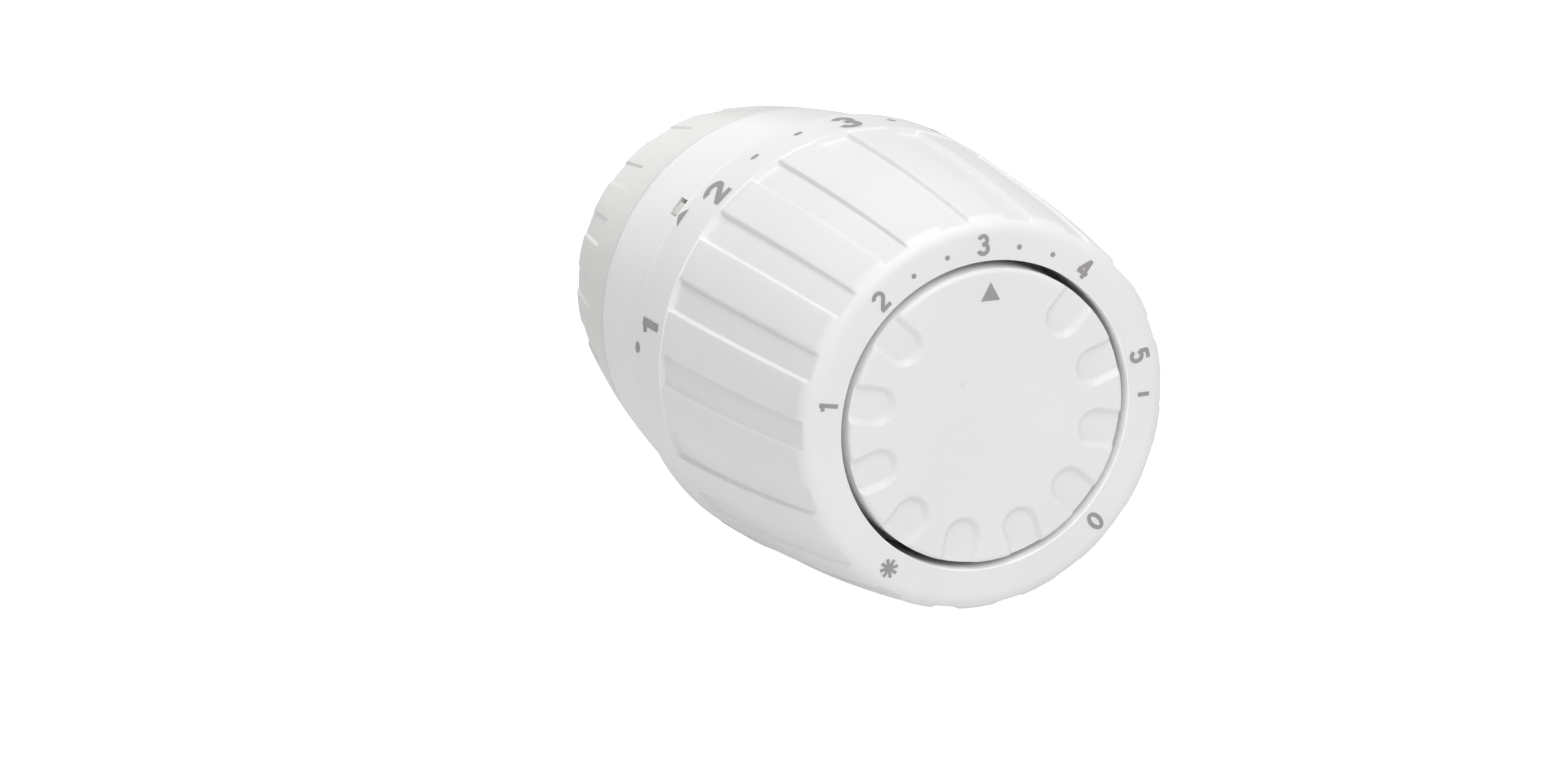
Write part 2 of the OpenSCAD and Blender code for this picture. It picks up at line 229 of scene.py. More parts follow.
def cut(piece, cutters):
    """Takes closed cutter meshes out of a closed piece."""
    for cutter in cutters:
        step = piece.modifiers.new("cut", "BOOLEAN")
        step.operation = "DIFFERENCE"
        step.solver = "EXACT"
        step.object = cutter
    graph = bpy.context.evaluated_depsgraph_get()
    mesh = bpy.data.meshes.new_from_object(piece.evaluated_get(graph))
    piece.modifiers.clear()
    piece.data = mesh
    for cutter in cutters:
        bpy.data.objects.remove(cutter)
    return piece


def finish_piece(piece, body, material, slot, *nodes):
    """Gives a new piece its normals, material and body, and hides the CAD nodes that it stands for."""
    normals = piece.modifiers.new("normals", "WEIGHTED_NORMAL")
    normals.keep_sharp = True
    piece.data.materials.clear()
    piece.data.materials.append(material)
    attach(piece, body)
    if nodes:
        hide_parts(*nodes)
    return piece


# ---- Materials ----

def shader(name, colour, roughness, metallic=0.0):
    """A new material with its Principled node, and the object coordinates that patterns are laid on."""
    material = bpy.data.materials.new(name)
    material.use_nodes = True
    material.diffuse_color = (*colour, 1)
    nodes = material.node_tree.nodes
    surface = nodes["Principled BSDF"]
    surface.inputs["Base Color"].default_value = (*colour, 1)
    surface.inputs["Roughness"].default_value = roughness
    surface.inputs["Metallic"].default_value = metallic
    coords = nodes.new("ShaderNodeTexCoord").outputs["Object"]
    return material, surface, coords


def noise(material, coords, scale, detail=3, stretch=(1, 1, 1)):
    """A noise pattern of the given scale, per metre, drawn out along an axis by stretch."""
    tree = material.node_tree
    mapping = tree.nodes.new("ShaderNodeMapping")
    mapping.inputs["Scale"].default_value = stretch
    texture = tree.nodes.new("ShaderNodeTexNoise")
    texture.inputs["Scale"].default_value = scale
    texture.inputs["Detail"].default_value = detail
    tree.links.new(coords, mapping.inputs["Vector"])
    tree.links.new(mapping.outputs["Vector"], texture.inputs["Vector"])
    return texture.outputs["Fac"]


def ranged(material, value, low, high, start=0.3, end=0.7):
    """A value that runs from start to end, brought to the range low to high."""
    tree = material.node_tree
    node = tree.nodes.new("ShaderNodeMapRange")
    node.inputs["From Min"].default_value = start
    node.inputs["From Max"].default_value = end
    node.inputs["To Min"].default_value = low
    node.inputs["To Max"].default_value = high
    tree.links.new(value, node.inputs["Value"])
    return node.outputs["Result"]


def tinted(material, surface, value, one, two):
    """Base colour that drifts between two colours with a pattern."""
    tree = material.node_tree
    mix = tree.nodes.new("ShaderNodeMix")
    mix.data_type = "RGBA"
    mix.inputs["A"].default_value = (*one, 1)
    mix.inputs["B"].default_value = (*two, 1)
    tree.links.new(ranged(material, value, 0, 1), mix.inputs["Factor"])
    tree.links.new(mix.outputs["Result"], surface.inputs["Base Color"])


def bumped(material, surface, value, height_mm, strength=1.0):
    """Relief of the given height from a pattern."""
    tree = material.node_tree
    bump = tree.nodes.new("ShaderNodeBump")
    bump.inputs["Strength"].default_value = strength
    bump.inputs["Distance"].default_value = height_mm * MM
    tree.links.new(value, bump.inputs["Height"])
    tree.links.new(bump.outputs["Normal"], surface.inputs["Normal"])


def moulded_plastic(name, colour, roughness, depth=0.06, grain_mm=0.006):
    """Satin moulded plastic: fine grain, faint flow drift in colour and gloss, some light inside."""
    material, surface, coords = shader(name, colour, roughness)
    drift = noise(material, coords, 90, 2)
    grain = noise(material, coords, 5200, 2)
    shade = tuple(c * 0.975 for c in colour)
    tinted(material, surface, drift, colour, shade)
    rough = ranged(material, noise(material, coords, 900, 4), roughness - 0.05, roughness + 0.06)
    material.node_tree.links.new(rough, surface.inputs["Roughness"])
    bumped(material, surface, grain, grain_mm)
    surface.inputs["Subsurface Weight"].default_value = depth
    surface.inputs["Subsurface Radius"].default_value = (1.0, 0.95, 0.85)
    surface.inputs["Subsurface Scale"].default_value = 1.5 * MM
    return material


def painted_gap_glow(material, hidden_r, lit_r, top, strength):
    """Painted light in the cap's gap: the gap's wall glows near the face, standing in for the light that
    reaches into the gap there.
    """
    dark_depth = 2.4
    lit_depth = 0.5
    tree = material.node_tree
    surface = tree.nodes["Principled BSDF"]
    coords = tree.nodes.new("ShaderNodeTexCoord").outputs["Object"]
    across = tree.nodes.new("ShaderNodeVectorMath")
    across.operation = "MULTIPLY"
    across.inputs[1].default_value = (1, 0, 1)
    tree.links.new(coords, across.inputs[0])
    distance = tree.nodes.new("ShaderNodeVectorMath")
    distance.operation = "LENGTH"
    tree.links.new(across.outputs["Vector"], distance.inputs[0])
    split = tree.nodes.new("ShaderNodeSeparateXYZ")
    tree.links.new(coords, split.inputs["Vector"])
    dark_y, lit_y = (dark_depth - top) * MM, (lit_depth - top) * MM
    on_wall = ranged(material, distance.outputs["Value"], 0, 1, hidden_r * MM, lit_r * MM)
    near_face = ranged(material, split.outputs["Y"], 0, strength, dark_y, lit_y)
    both = tree.nodes.new("ShaderNodeMath")
    both.operation = "MULTIPLY"
    tree.links.new(on_wall, both.inputs[0])
    tree.links.new(near_face, both.inputs[1])
    tree.links.new(both.outputs["Value"], surface.inputs["Emission Strength"])
    surface.inputs["Emission Color"].default_value = (1, 0.99, 0.96, 1)


def worked_metal(name, colour, roughness, stretch, scale=2500, tarnish=0.9):
    """Metal with fine drawing or turning lines and a slight tarnish."""
    material, surface, coords = shader(name, colour, roughness, 1.0)
    lines = noise(material, coords, scale, 4, stretch)
    tinted(material, surface, noise(material, coords, 220, 3), colour, tuple(c * tarnish for c in colour))
    rough = ranged(material, lines, roughness - 0.08, roughness + 0.12)
    material.node_tree.links.new(rough, surface.inputs["Roughness"])
    bumped(material, surface, lines, 0.004)
    return material


def moulded_rubber(name, colour):
    material, surface, coords = shader(name, colour, 0.6)
    tinted(material, surface, noise(material, coords, 400, 3), colour, tuple(c * 1.6 for c in colour))
    bumped(material, surface, noise(material, coords, 3000, 3), 0.02)
    return material


def pad_ink(name, colour):
    """Pad-printed ink: matt, a little thin in places."""
    material, surface, coords = shader(name, colour, 0.55)
    tinted(material, surface, noise(material, coords, 2600, 3), colour, tuple(c * 1.12 for c in colour))
    bumped(material, surface, noise(material, coords, 7000, 2), 0.004)
    return material


white = moulded_plastic("white_plastic", (0.87, 0.87, 0.865), 0.40, depth=0.1)
# painted light: the handle's white glows on the wall of the cap's gap, near the face
painted_gap_glow(white, hole_r + 0.12, hole_r + 0.05, head_len, 0.21)
cap_white = moulded_plastic("cap_plastic", (0.865, 0.862, 0.862), 0.36, depth=0.1)
cream = moulded_plastic("cream_plastic", (0.755, 0.753, 0.736), 0.42, depth=0.35)
pin_cream = moulded_plastic("pin_plastic", (0.72, 0.725, 0.685), 0.45, depth=0.1)
inner = moulded_plastic("inner_plastic", (0.74, 0.735, 0.71), 0.5, depth=0.1, grain_mm=0.012)
pom = moulded_plastic("acetal_plastic", (0.80, 0.80, 0.78), 0.3, depth=0.25)
spring_steel = worked_metal("spring_steel", (0.56, 0.56, 0.57), 0.3, (1, 1, 1))
can_steel = worked_metal("tinplate", (0.66, 0.66, 0.65), 0.34, (1, 0.06, 1))
bright_brass = worked_metal("brass", (0.74, 0.55, 0.26), 0.28, (1, 0.1, 1), tarnish=0.8)
copper = worked_metal("copper", (0.75, 0.40, 0.25), 0.3, (1, 0.1, 1), tarnish=0.75)
rubber = moulded_rubber("rubber", (0.02, 0.02, 0.02))
ink = pad_ink("scale_ink", (0.33, 0.315, 0.315))


# ---- Handle ----

def flute_window(angle):
    """1 in the middle of a flute, 0 on a rib, with a soft wall between."""
    off = abs((angle + flute_pitch) % flute_pitch - flute_pitch / 2)
    return 1 - smooth(flute_half - flute_wall, flute_half + flute_wall, off)


def flute_angles():
    """Angles that follow the flutes' walls closely and their flats loosely."""
    wall = steps(flute_half - flute_wall * 1.1, flute_half + flute_wall * 1.1, 7)
    flat = [1.2, 2.6]
    rib = [5.6, 7.0, 8.5]
    side = flat + wall + rib
    offsets = sorted([-s for s in side] + [0] + side + [flute_pitch / 2])
    return [flute_pitch * (i + 0.5) + s for i in range(flute_count) for s in offsets]


def flute_shift(r, z, angle):
    """Sinks the barrel's outside where a flute is; the flute runs out towards the front."""
    along = (z - flute_rear) / (head_len - flute_rear)
    depth = flute_depth + (flute_run_out - flute_depth) * along
    floor_r = barrel_at(z) - band_step - depth
    opening = smooth(flute_rear - 0.12, flute_rear + 0.2, z)
    if r <= floor_r or opening == 0:
        return r, z
    return r - (r - floor_r) * flute_window(angle) * opening, z


def handle_outline():
    drop = math.degrees(math.asin((widest_z - handle_rear) / rear_fillet))
    wall = 2.5
    hollow_rear, hollow_front = 35.2, head_len - 2.2
    neck_r = cage_out_r + 0.08
    tube_r = 20.3
    mouth_r = 24.08
    mouth_front = 34.8
    mouth_ease = 0.15
    front_z = head_len - front_fillet
    front_r = barrel_at(front_z) - band_step - front_fillet
    band = [(barrel_at(z), z) for z in steps(widest_z + 0.5, flute_rear - 0.4, 7)]
    step = [
        (barrel_at(z) - band_step * smooth(flute_rear - 0.12, flute_rear + 0.16, z), z)
        for z in steps(flute_rear - 0.2, flute_rear + 0.28, 10)
    ]
    ribs = [(barrel_at(z) - band_step, z) for z in steps(flute_rear + 1, front_z - 0.6, 26)]
    front = arc((front_r, front_z), front_fillet, 2, 90, 14)
    hole = arc((hole_r + hole_edge, head_len - hole_edge), hole_edge, 90, 180, 6)
    neck = [(hole_r, lip_front), (neck_r, lip_front), (neck_r, lip_rear)]
    tube = [(tube_r, lip_rear), (tube_r, hollow_front)]
    inside = [(barrel_at(z) - wall, z) for z in steps(hollow_front, hollow_rear, 8)]
    rear = arc((barrel_r - rear_fillet, widest_z), rear_fillet, -drop, -2, 9)
    lip = [(mouth_r, mouth_front), (mouth_r, handle_rear + mouth_ease), (mouth_r + mouth_ease, handle_rear)]
    return rear + band + step + ribs + front + hole + neck + tube + inside + lip


def handle_inside():
    """Ribs that key the drive ring, and the lug that stops the turn."""
    _, key_rear, key_front = span("drive_ring")
    rib_in, rib_out = 22.5, 24.4
    rib_count = 6
    lug_in, lug_out = 20.6, 25.2
    lug_rear, lug_front = 35.2, 38
    parts = []
    for i in range(rib_count):
        size = (rib_out - rib_in, 1.4, key_front - key_rear - 2)
        centre = ((rib_in + rib_out) / 2, 0, (key_rear + key_front) / 2 - 1)
        parts.append(block(f"key_rib_{i}", size, centre, 360 / rib_count * i - 90))
    lug = [(lug_in, lug_rear, 0.3), (lug_out, lug_rear, 0.3)]
    lug += [(lug_out, lug_front, 0.3), (lug_in, lug_front, 0.3)]
    parts.append(sector("stop_lug", lug, 180, stop_lug_w))
    return parts


def sector(name, corners, angle, width):
    """Part of a ring, centred on angle, with an eased outline."""
    outline = eased(corners)
    bm = bmesh.new()
    slices = []
    for a in steps(angle - width / 2, angle + width / 2, max(2, round(width / 3))):
        slices.append([bm.verts.new(place(r, a, z)) for r, z in outline])
    for one, two in zip(slices, slices[1:]):
        for i in range(len(outline)):
            k = (i + 1) % len(outline)
            bm.faces.new((one[i], one[k], two[k], two[i]))
    bm.faces.new(slices[0])
    bm.faces.new(list(reversed(slices[-1])))
    bmesh.ops.recalc_face_normals(bm, faces=bm.faces)
    return mesh_piece(name, bm)


def build_handle():
    shell = turned("handle_barrel", handle_outline(), flute_angles(), flute_shift)
    handle = joined("handle_shell", [shell] + handle_inside())
    return finish_piece(handle, "handle", white, "white_plastic", "setting_handle")


# ---- Cap ----

def dimple_shift(r, z, angle):
    """Sinks the cap's top where a dimple is: a slot with a round inner end, open at the rim."""
    floor_z = cap_top - dimple_depth
    if z <= floor_z or r < dimple_end_r - dimple_half - 1:
        return r, z
    nearest = min(dimple_angles, key=lambda d: abs((angle - d + 180) % 360 - 180))
    off = math.radians((angle - nearest + 180) % 360 - 180)
    x, y = r * math.cos(off), r * math.sin(off)
    gap = math.hypot(min(x - dimple_end_r, 0), y) - dimple_half
    return r, z - (z - floor_z) * (1 - smooth(-dimple_soft, dimple_soft, gap))


def build_cap():
    rim = 0.6
    shell = 1.4
    hub_in, hub_out = 6.1, 8
    under = cap_top - 2.2
    top = [(0, cap_top)] + [(r, cap_top) for r in [1.5, 4, 7, 9.5] + steps(11.2, cap_r - rim, 34)]
    edge = arc((cap_r - rim, cap_top - rim), rim, 80, 0, 8)
    side = [(cap_r, z) for z in (cap_top - 0.85, cap_top - 1.2, cap_rear + 0.3)]
    skirt = [(cap_r - 0.3, cap_rear), (cap_r - shell, cap_rear), (cap_r - shell, under)]
    hub = [(hub_out, under), (hub_out, cap_rear), (hub_in, cap_rear), (hub_in, under), (0, under)]
    cap = turned("cap_shell", top + edge + side + skirt + hub, [i / 2 for i in range(720)], dimple_shift)
    return finish_piece(cap, "cap", cap_white, "white_plastic", "front_cap")


def build_gate_mark():
    """The small pip left by the mould's gate."""
    pip = eased([(0, 0, 0), (0.34, 0, 0.05), (0.3, 0.05, 0.04), (0, 0.05, 0)])
    count = 24
    turns = [2 * math.pi * i / count for i in range(count)]
    bm = bmesh.new()
    centre = place(5.4, 38, cap_top)
    rings = [
        [bm.verts.new(centre + Vector((r * math.cos(a), -z, r * math.sin(a))) * MM) for a in turns]
        for r, z in pip if r > 0
    ]
    for one, two in zip(rings, rings[1:]):
        for i in range(count):
            bm.faces.new((one[i], one[i - 1], two[i - 1], two[i]))
    bm.faces.new(rings[-1])
    bmesh.ops.recalc_face_normals(bm, faces=bm.faces)
    return finish_piece(mesh_piece("gate_mark", bm), "cap", cap_white, "white_plastic")


# ---- Base ----

socket_r = 13.05
socket_out_r = 15.2
floor_rear = 15.5
floor_front = 18
jaw_angles = [-45, 45, 135, 225]
jaw_mid_z = 11.75
clip_groove_r = socket_out_r - 0.5
clip_rear, clip_front = 6.85, 7.85
cage_in_r = cage_out_r - 1.84
slot_angles = [0, 120, 240]
notch_tilt = 49.8
notch_w = 2.45
notch_rear = 28.2


def base_outline():
    collar_in, collar_out, collar_top = 22.2, 24.0, 34.6
    bush_hole_r = 4.65
    ledge_r = 21.75
    groove_r = 22.9
    groove_rear, groove_front = 32.1, 33.5
    wall = 1.8
    outer = [(base_at(z), z, 0) for z in steps(ring_seam_z + 0.8, seam_z - 0.9, 12)]
    foot = [(bush_hole_r, floor_rear, 0.2), (ledge_r, floor_rear, 0.1), (ledge_r, ring_seam_z, 0)]
    rear_edge = [(base_at(ring_seam_z), ring_seam_z, 0.25)]
    front_edge = [(base_at(seam_z), seam_z, 0.1), (collar_out, seam_z, 0)]
    groove = [(r, groove_rear, 0) for r in (collar_out, groove_r)]
    groove += [(r, groove_front, 0) for r in (groove_r, collar_out)]
    collar = [(collar_out, collar_top, 0.3), (collar_in, collar_top, 0.3), (collar_in, notch_rear, 0)]
    inside = [(base_at(z) - wall, z, 0) for z in (notch_rear, 25, 22)]
    floor = [(base_at(floor_front) - wall, floor_front, 0.5), (bush_hole_r, floor_front, 0.1)]
    return eased(foot + rear_edge + outer + front_edge + groove + collar + inside + floor)


def build_base():
    shell = turned("base_wall", base_outline(), [i * 0.75 for i in range(480)])
    notches = [
        block(f"notch_{side}", (8, notch_w, seam_z - notch_rear + 1), (24, 0, (seam_z + notch_rear + 1) / 2),
              side * notch_tilt, 0.01)
        for side in (-1, 1)
    ]
    cut(shell, notches)
    tube = turned("socket_tube", eased([
        (socket_r, 0, 0.5), (socket_out_r, 0, 0.4), (socket_out_r, clip_rear, 0), (clip_groove_r, clip_rear, 0),
        (clip_groove_r, clip_front, 0), (socket_out_r, clip_front, 0), (socket_out_r, floor_rear + 0.3, 0),
        (socket_r, floor_rear + 0.3, 0),
    ]))
    cut(tube, [block(f"jaw_window_{a}", (5, 7.2, 3.5), (14, 0, jaw_mid_z), a, 0.05) for a in jaw_angles])
    cage = turned("cage", eased([
        (cage_in_r, floor_front - 0.3, 0), (cage_out_r, floor_front - 0.3, 0),
        (cage_out_r, cage_front, 0.25), (cage_in_r, cage_front, 0.25),
    ]))
    cage_mid_r = 16.4
    slots = []
    for a in slot_angles:
        slots.append(block(f"cage_slot_{a}", (6, 6.4, 22), (cage_mid_r, 0, 52), a, 0.05))
        slots.append(block(f"cage_catch_{a}", (6, 7.8, 1.8), (cage_mid_r, 0, 55.7), a, 0.05))
    cut(cage, slots)
    rail_size = (5.2, 1.2, 5.7)
    rail_mid_r, rail_off, rail_mid_z = 17.2, 4.2, 13.15
    rails = [
        block(f"jaw_rail_{a}_{side}", rail_size, (rail_mid_r, side * rail_off, rail_mid_z), a, 0.25)
        for a in jaw_angles for side in (-1, 1)
    ]
    stop_w = 360 - turn_close - turn_open - stop_lug_w - 0.8
    stop_rear, stop_front = seam_z + 0.2, 37.6
    stop_in, stop_out = 20.6, 23.9
    stop_outline = [(stop_in, stop_rear, 0), (stop_out, stop_rear, 0)]
    stop_outline += [(stop_out, stop_front, 0.3), (stop_in, stop_front, 0.3)]
    stop = sector("stop_block", stop_outline, (turn_open - turn_close) / 2, stop_w)
    base = joined("base_shell", [shell, tube, cage, stop] + rails)
    return finish_piece(base, "base", white, "white_plastic", "base_housing")


def build_limit_pins():
    """Pins that sit in the notches, off their centres, and limit the handle's range."""
    pin_size = (6, 1.84, 2.3)
    pin_mid_r = 22.5
    pin_mid_z = (notch_rear + seam_z) / 2 + 0.04
    pin_shift = 0.17
    for name, side in (("low", 1), ("high", -1)):
        centre = (pin_mid_r, side * pin_shift, pin_mid_z)
        pin = block(f"{name}_limit_pin", pin_size, centre, side * notch_tilt, 0.2)
        finish_piece(pin, f"{name}_pin", pin_cream, "cream_plastic", f"limit_pin_{name}")


# ---- Locking ring ----

ring_flute_top = 9.2
ring_flute_depth = 0.26
ring_flute_wall = 0.5
ring_flute_at = 7.4
peg_r = 18.9
jaw_throw = 1.1
lock_turn = 30


def ring_window(angle):
    """1 in the middle of a flute of the locking ring, 0 between flutes."""
    off = abs((angle - ring_flute_at + flute_pitch / 2) % flute_pitch - flute_pitch / 2)
    return 1 - smooth(flute_half - ring_flute_wall, flute_half + ring_flute_wall, off)


def ring_angles():
    """Angles that follow the walls of the ring's flutes closely and the rest loosely."""
    wall = steps(flute_half - ring_flute_wall * 1.1, flute_half + ring_flute_wall * 1.1, 7)
    side = [1.4, 2.8] + wall + [5.8, 7.2, 8.6]
    offsets = sorted([-s for s in side] + [0] + side + [flute_pitch / 2])
    return [ring_flute_at + flute_pitch * i + s for i in range(flute_count) for s in offsets]


def ring_shift(r, z, angle):
    """Sinks the ring's outside where a flute is."""
    floor_r = base_at(z) - ring_flute_depth
    opening = 1 - smooth(ring_flute_top - 0.2, ring_flute_top + 0.1, z)
    if r <= floor_r or opening == 0:
        return r, z
    return r - (r - floor_r) * ring_window(angle) * opening, z


def cam_slot(name, angle):
    """Cutter for one cam slot: a rounded groove that nears the axis as the ring turns to lock."""
    half = 1.28
    count = 12
    cut_rear, cut_front = 7.5, 10.5
    bm = bmesh.new()
    path = [(peg_r + jaw_throw * a / lock_turn, a) for a in steps(0, -lock_turn, count)]
    centres = [Vector((r * math.cos(math.radians(angle + a)), r * math.sin(math.radians(angle + a))))
               for r, a in path]
    ahead = [
        (centres[min(i + 1, count)] - centres[max(i - 1, 0)]).normalized()
        for i in range(count + 1)
    ]
    sides = [Vector((-d.y, d.x)) * half for d in ahead]
    left = [c + s for c, s in zip(centres, sides)]
    right = [c - s for c, s in zip(centres, sides)]
    turn_on = [centres[-1] + Matrix.Rotation(-t, 2) @ sides[-1] for t in steps(0, math.pi, 8)[1:-1]]
    turn_back = [centres[0] + Matrix.Rotation(-t, 2) @ -sides[0] for t in steps(0, math.pi, 8)[1:-1]]
    loop = left + turn_on + list(reversed(right)) + turn_back
    low, high = [[bm.verts.new(Vector((-p.y, -z, p.x)) * MM) for p in loop] for z in (cut_rear, cut_front)]
    for i in range(len(loop)):
        bm.faces.new((low[i - 1], low[i], high[i], high[i - 1]))
    bm.faces.new(low)
    bm.faces.new(high)
    bmesh.ops.recalc_face_normals(bm, faces=bm.faces)
    return mesh_piece(name, bm)


def build_locking_ring():
    wall = 2
    web_r = 15.5
    web_rear, web_front = 8, 10
    web_ease = 0.15
    outer = [(base_at(z), z) for z in [1.0] + steps(1.6, ring_flute_top - 0.5, 8)]
    outer += [(base_at(z), z) for z in steps(ring_flute_top - 0.25, ring_flute_top + 0.2, 7)]
    outer += [(base_at(z), z) for z in steps(ring_flute_top + 0.8, ring_top - 0.35, 8)]
    top = [(base_at(ring_top) - 0.06, ring_top - 0.12), (base_at(ring_top) - 0.25, ring_top)]
    inside = [(base_at(z) - wall, z) for z in steps(ring_top, 10.3, 4)]
    web = [(base_at(web_front) - wall - 0.3, web_front), (web_r, web_front)]
    web += [(web_r - web_ease, web_front - web_ease), (web_r - web_ease, web_rear + web_ease)]
    web += [(web_r, web_rear), (base_at(web_rear) - wall - 0.3, web_rear)]
    lower = [(base_at(z) - wall, z) for z in steps(7.7, 0.25, 5)]
    foot = [(base_at(0) - wall + 0.25, 0), (base_at(0) - 1.0, 0)]
    foot += [(base_at(0.3) - 0.4, 0.2), (base_at(0.6) - 0.1, 0.55)]
    ring = turned("ring_shell", outer + top + inside + web + lower + foot, ring_angles(), ring_shift)
    cut(ring, [cam_slot(f"cam_slot_{a}", a) for a in jaw_angles])
    ring = joined("locking_ring_shell", [ring])
    return finish_piece(ring, "lock_ring", cream, "cream_plastic", "locking_ring")


def build_jaws():
    """Clamp jaws with eased edges, each with its cam peg and a face hollowed to the neck."""
    jaw_size = (8.2, 7, 3.3)
    jaw_mid_r = 16.15
    for i, a in enumerate((45, 135, 225, 315)):
        jaw = block(f"jaw_block_{i + 1}", jaw_size, (jaw_mid_r, 0, jaw_mid_z), a - 90, 0.25)
        bore = turned(f"jaw_bore_{i + 1}", [(0, 9), (socket_r + 0.06, 9), (socket_r + 0.06, 14.5), (0, 14.5)])
        cut(jaw, [bore])
        peg = turned(f"jaw_peg_{i + 1}", [(0, 8.2), (1.0, 8.2), (1.2, 8.4), (1.2, 11), (0, 11)])
        turn = math.radians(a)
        peg.data.transform(Matrix.Translation(Vector((math.cos(turn), 0, math.sin(turn))) * peg_r * MM))
        whole = joined(f"jaw_{i + 1}_moulding", [jaw, peg])
        finish_piece(whole, f"jaw_{i + 1}", pom, "inner_plastic", f"clamp_jaw_{i + 1}")


# ---- Springs and bellows ----

def crushed(piece):
    """Gives a piece that fills rear to front its own copy of its mesh."""
    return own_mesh(piece)


def coil_climb(t, turns, run, dead):
    """How far a coil has risen after t turns: its end turns lie closed, the rest share what is left."""
    if t < 1:
        return dead * t
    if t > turns - 1:
        return run - dead * (turns - t)
    return dead + (run - 2 * dead) / (turns - 2) * (t - 1)


def build_spring(node, body, wire, turns):
    """Round wire wound to the CAD spring's size, with a closed turn at each end."""
    outer_r, rear, front = span(node)
    per_turn = 48
    run = front - rear - wire
    section = [2 * math.pi * k / 12 for k in range(12)]
    bm = bmesh.new()
    rings = []
    for i in range(turns * per_turn + 1):
        t = i / per_turn
        z = rear + wire / 2 + coil_climb(t, turns, run, wire * 1.1)
        around = [(outer_r - wire / 2 * (1 - math.cos(b)), z + wire / 2 * math.sin(b)) for b in section]
        rings.append([bm.verts.new(place(ring_r, 360 * t, ring_z)) for ring_r, ring_z in around])
    for one, two in zip(rings, rings[1:]):
        for k in range(len(section)):
            bm.faces.new((one[k - 1], one[k], two[k], two[k - 1]))
    bm.faces.new(rings[0])
    bm.faces.new(rings[-1])
    bmesh.ops.recalc_face_normals(bm, faces=bm.faces)
    piece = finish_piece(mesh_piece(f"{node}_wire", bm), body, spring_steel, "spring_steel", node)
    return crushed(piece)


def build_bellows():
    """Thin folded tube: rounded folds between two flat rims."""
    outer_r, rear, front = span("bellows")
    folds = 8
    foil = 0.3
    rim = 0.45
    depth = 3.4
    crest = outer_r - 0.02
    count = 96
    wall = [
        (crest - depth * (0.5 - 0.5 * math.cos(2 * math.pi * folds * i / count)), z)
        for i, z in enumerate(steps(rear + rim, front - rim, count))
    ]
    outside = [(outer_r, rear)] + wall + [(outer_r, front)]
    inside = [(outer_r - rim, front)] + [(r - foil, z) for r, z in reversed(wall)] + [(outer_r - rim, rear)]
    tube = turned("bellows_folds", outside + inside, [360 * i / 120 for i in range(120)])
    piece = finish_piece(tube, "carrier", bright_brass, "brass", "bellows")
    return crushed(piece)


# ---- Printed scale ----

def curve_points(centre, radii, start, end, count=14):
    """Points along part of an ellipse, from one angle to another."""
    return [
        (centre[0] + radii[0] * math.cos(math.radians(a)), centre[1] + radii[1] * math.sin(math.radians(a)))
        for a in steps(start, end, count)
    ]


def glyph(mark):
    """Strokes of a digit or sign in a box one unit high about its centre. Strokes meet at sharp corners."""
    if mark == "0":
        return [curve_points((0, 0), (0.24, 0.43), 0, 360, 40)]
    if mark == "1":
        return [[(-0.22, 0.26), (-0.05, 0.31), (0.05, 0.42)], [(0.06, 0.5), (0.06, -0.5)]]
    if mark == "2":
        neck = curve_points((0, 0.2), (0.25, 0.235), 168, -38, 18)
        return [neck + [(-0.22, -0.4)], [(-0.3, -0.435), (0.3, -0.435)]]
    if mark == "3":
        upper = curve_points((-0.01, 0.225), (0.215, 0.21), 160, -100, 18)
        lower = curve_points((-0.01, -0.2), (0.25, 0.235), 100, -165, 20)
        return [upper, lower]
    if mark == "4":
        return [[(-0.25, -0.2), (0.1, 0.42)], [(-0.32, -0.22), (0.32, -0.22)], [(0.12, 0.5), (0.12, -0.5)]]
    if mark == "5":
        bowl = curve_points((-0.01, -0.16), (0.25, 0.275), 128, -158, 20)
        return [[(-0.15, 0.48), (-0.21, 0.05)], [(-0.2, 0.435), (0.26, 0.435)], [(-0.24, 0.02)] + bowl]
    if mark == "I":
        return [[(0, 0.5), (0, -0.5)]]
    arms = [Vector((math.sin(math.radians(t)), math.cos(math.radians(t)))) / 2 for t in (0, 45, 90, 135)]
    return [[tuple(arm), tuple(-arm)] for arm in arms]


def resampled(points, gap):
    """The same line with no two points further apart than gap."""
    out = [Vector(points[0])]
    for a, b in zip(points, points[1:]):
        a, b = Vector(a), Vector(b)
        count = max(1, math.ceil((b - a).length / gap))
        out += [a.lerp(b, i / count) for i in range(1, count + 1)]
    return out


def ribbon(bm, points, width, put, layer):
    """A stroke of the given width along points, laid on a surface by put(u, v, lift)."""
    closed = (points[0] - points[-1]).length < 1e-6
    last = len(points) - 1
    rows = []
    for i, here in enumerate(points):
        before = points[i - 1] if i else (points[-2] if closed else here)
        after = points[i + 1] if i < last else (points[1] if closed else here)
        one = (here - before).normalized() if i or closed else (after - here).normalized()
        two = (after - here).normalized() if i < last or closed else one
        middle = (one + two).normalized()
        normal = Vector((-middle.y, middle.x))
        reach = width / 2 / max(0.45, normal.dot(Vector((-one.y, one.x))))
        rows.append([bm.verts.new(put(*(here + normal * reach * s), layer)) for s in (-1, -0.33, 0.33, 1)])
    for one, two in zip(rows, rows[1:]):
        for k in range(3):
            bm.faces.new((one[k], one[k + 1], two[k + 1], two[k]))


def spot(bm, width, height, put):
    """A filled oval of ink."""
    centre = bm.verts.new(put(0, 0, 0))
    count = 20
    turns = [2 * math.pi * i / count for i in range(count)]
    rim = [bm.verts.new(put(width / 2 * math.cos(t), height / 2 * math.sin(t), 0)) for t in turns]
    for i in range(count):
        bm.faces.new((centre, rim[i - 1], rim[i]))


